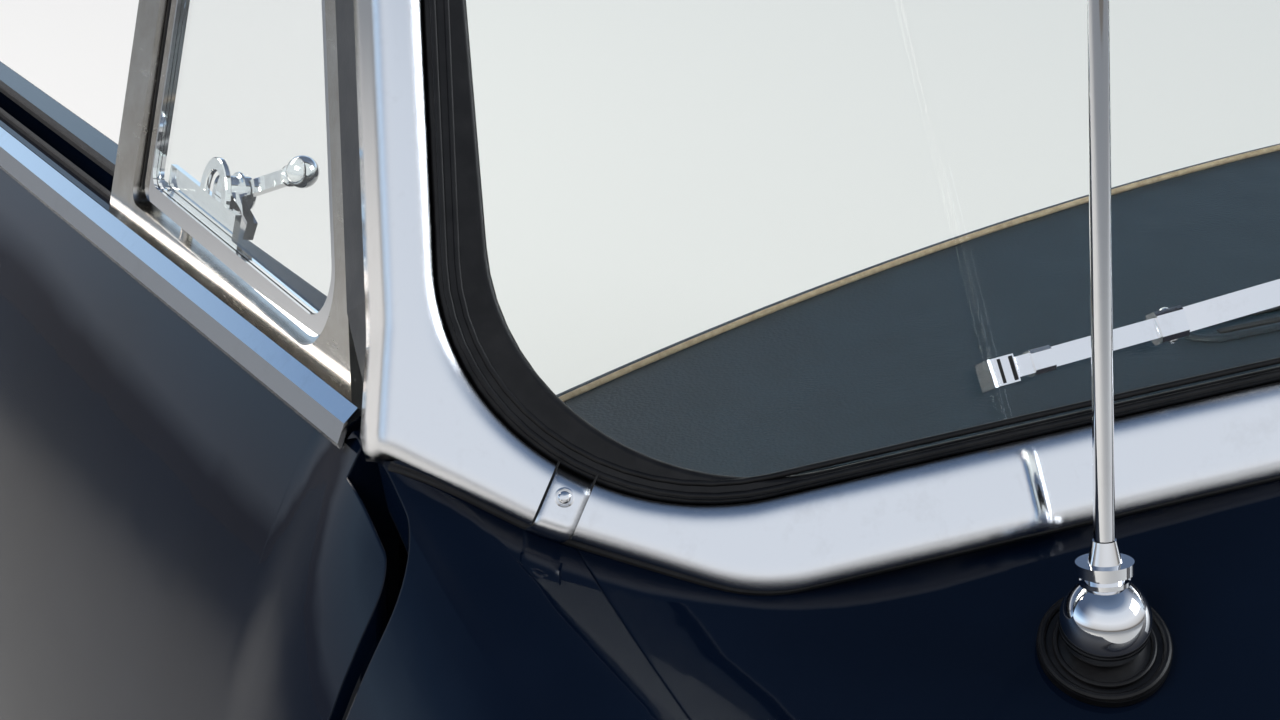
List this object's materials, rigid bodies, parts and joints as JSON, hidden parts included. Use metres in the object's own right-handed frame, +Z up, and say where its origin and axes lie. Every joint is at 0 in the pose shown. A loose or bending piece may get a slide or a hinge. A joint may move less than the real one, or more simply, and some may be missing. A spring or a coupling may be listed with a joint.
{
  "type": "scuttle and windscreen section of an open classic car with front doors",
  "caption": "Scuttle, curved windscreen, dashboard shell and hinged front doors of an open 1950s car, with wipers, vent windows and a telescopic aerial.",
  "frame": {"origin": "centre of the bolt pattern under the feet of the two front posts", "axes": "+Z up, -Y towards the car's nose, +X towards the car's left side"},
  "size_m": [1.52, 1.21, 1.4544],
  "materials": {
    "body_paint": "deep gloss midnight blue",
    "inner_paint": "satin dark paint",
    "bright_metal": "polished chrome plate",
    "bright_steel": "satin stainless steel",
    "screen_glass": "clear curved glass",
    "side_glass": "clear flat glass",
    "seal_rubber": "matt black rubber",
    "dash_cover": "dark blue-grey grained cover",
    "door_card": "dark grained door card",
    "plain_steel": "zinc-plated steel"
  },
  "bodies": {
    "frame": {"cowl": "body_paint", "bulkhead": "inner_paint", "header_rail": "inner_paint", "windscreen_glass": "screen_glass", "windscreen_seal": "seal_rubber", "dash_top": "dash_cover", "dash_panel": "body_paint", "surround_bottom": "bright_metal", "surround_top": "bright_metal", "aerial_pad": "seal_rubber", "aerial_base": "bright_metal", "aerial_tube": "bright_metal", "surround_left": "bright_metal", "surround_right": "bright_metal", "wing_left": "body_paint", "wing_right": "body_paint", "front_post_left": "inner_paint", "front_post_right": "inner_paint", "hinge_arms_left": "plain_steel", "hinge_arms_right": "plain_steel", "pillar_left": "inner_paint", "pillar_right": "inner_paint", "joint_clip_left": "bright_metal", "joint_clip_right": "bright_metal", "wiper_boss_left": "bright_metal", "wiper_boss_right": "bright_metal"},
    "door_left": {"door_shell_left": "body_paint", "door_trim_left": "door_card", "door_handle_left": "bright_metal", "belt_moulding_left": "bright_metal", "vent_frame_left": "bright_steel", "vent_sash_left": "bright_metal", "vent_glass_left": "side_glass", "vent_latch_left": "bright_metal"},
    "door_right": {"door_shell_right": "body_paint", "door_trim_right": "door_card", "door_handle_right": "bright_metal", "belt_moulding_right": "bright_metal", "vent_frame_right": "bright_steel", "vent_sash_right": "bright_metal", "vent_glass_right": "side_glass", "vent_latch_right": "bright_metal"},
    "wiper_left": {"wiper_head_left": "bright_metal"},
    "wiper_arm_left": {"wiper_arm_left": "bright_metal", "wiper_holder_left": "bright_metal", "wiper_rubber_left": "seal_rubber"},
    "wiper_right": {"wiper_head_right": "bright_metal"},
    "wiper_arm_right": {"wiper_arm_right": "bright_metal", "wiper_holder_right": "bright_metal", "wiper_rubber_right": "seal_rubber"},
    "aerial_middle": {"aerial_middle": "bright_metal"},
    "aerial_tip": {"aerial_tip": "bright_metal"}
  },
  "joints": [
    {"name": "door_left_hinge", "type": "hinge", "parent": "frame", "child": "door_left", "pos_m": [0.706, 0.107, 0.3], "axis": [0, 0, -1], "range_deg": [0, 65]},
    {"name": "door_right_hinge", "type": "hinge", "parent": "frame", "child": "door_right", "pos_m": [-0.706, 0.107, 0.3], "axis": [0, 0, 1], "range_deg": [0, 65]},
    {"name": "wiper_right_sweep", "type": "hinge", "parent": "frame", "child": "wiper_right", "pos_m": [-0.03067, -0.09938, 0.59677], "axis": [0.0201, 0.8659, -0.4999], "range_deg": [0, 90]},
    {"name": "wiper_right_knuckle", "type": "hinge", "parent": "wiper_right", "child": "wiper_arm_right", "pos_m": [-0.05523, -0.10057, 0.60773], "axis": [0.342, 0.4639, 0.8172], "range_deg": [0, 11.5]},
    {"name": "wiper_left_sweep", "type": "hinge", "parent": "frame", "child": "wiper_left", "pos_m": [0.3769, -0.05876, 0.57332], "axis": [-0.2467, 0.8393, -0.4846], "range_deg": [0, 90]},
    {"name": "wiper_left_knuckle", "type": "hinge", "parent": "wiper_left", "child": "wiper_arm_left", "pos_m": [0.35495, -0.06541, 0.58743], "axis": [0.3315, 0.5429, 0.7716], "range_deg": [0, 11.5]},
    {"name": "aerial_middle_slide", "type": "slide", "parent": "frame", "child": "aerial_middle", "axis": [0, 0.1132, 0.9936], "range_m": [-0.27, 0]},
    {"name": "aerial_tip_slide", "type": "slide", "parent": "aerial_middle", "child": "aerial_tip", "axis": [0, 0.1132, 0.9936], "range_m": [-0.25, 0]}
  ],
  "couplings": [
    {"joint": "wiper_left_sweep", "follows": "wiper_right_sweep", "ratio": 1},
    {"joint": "wiper_right_knuckle", "follows": "wiper_right_sweep", "ratio": 0.12667},
    {"joint": "wiper_left_knuckle", "follows": "wiper_right_sweep", "ratio": 0.12667}
  ]
}
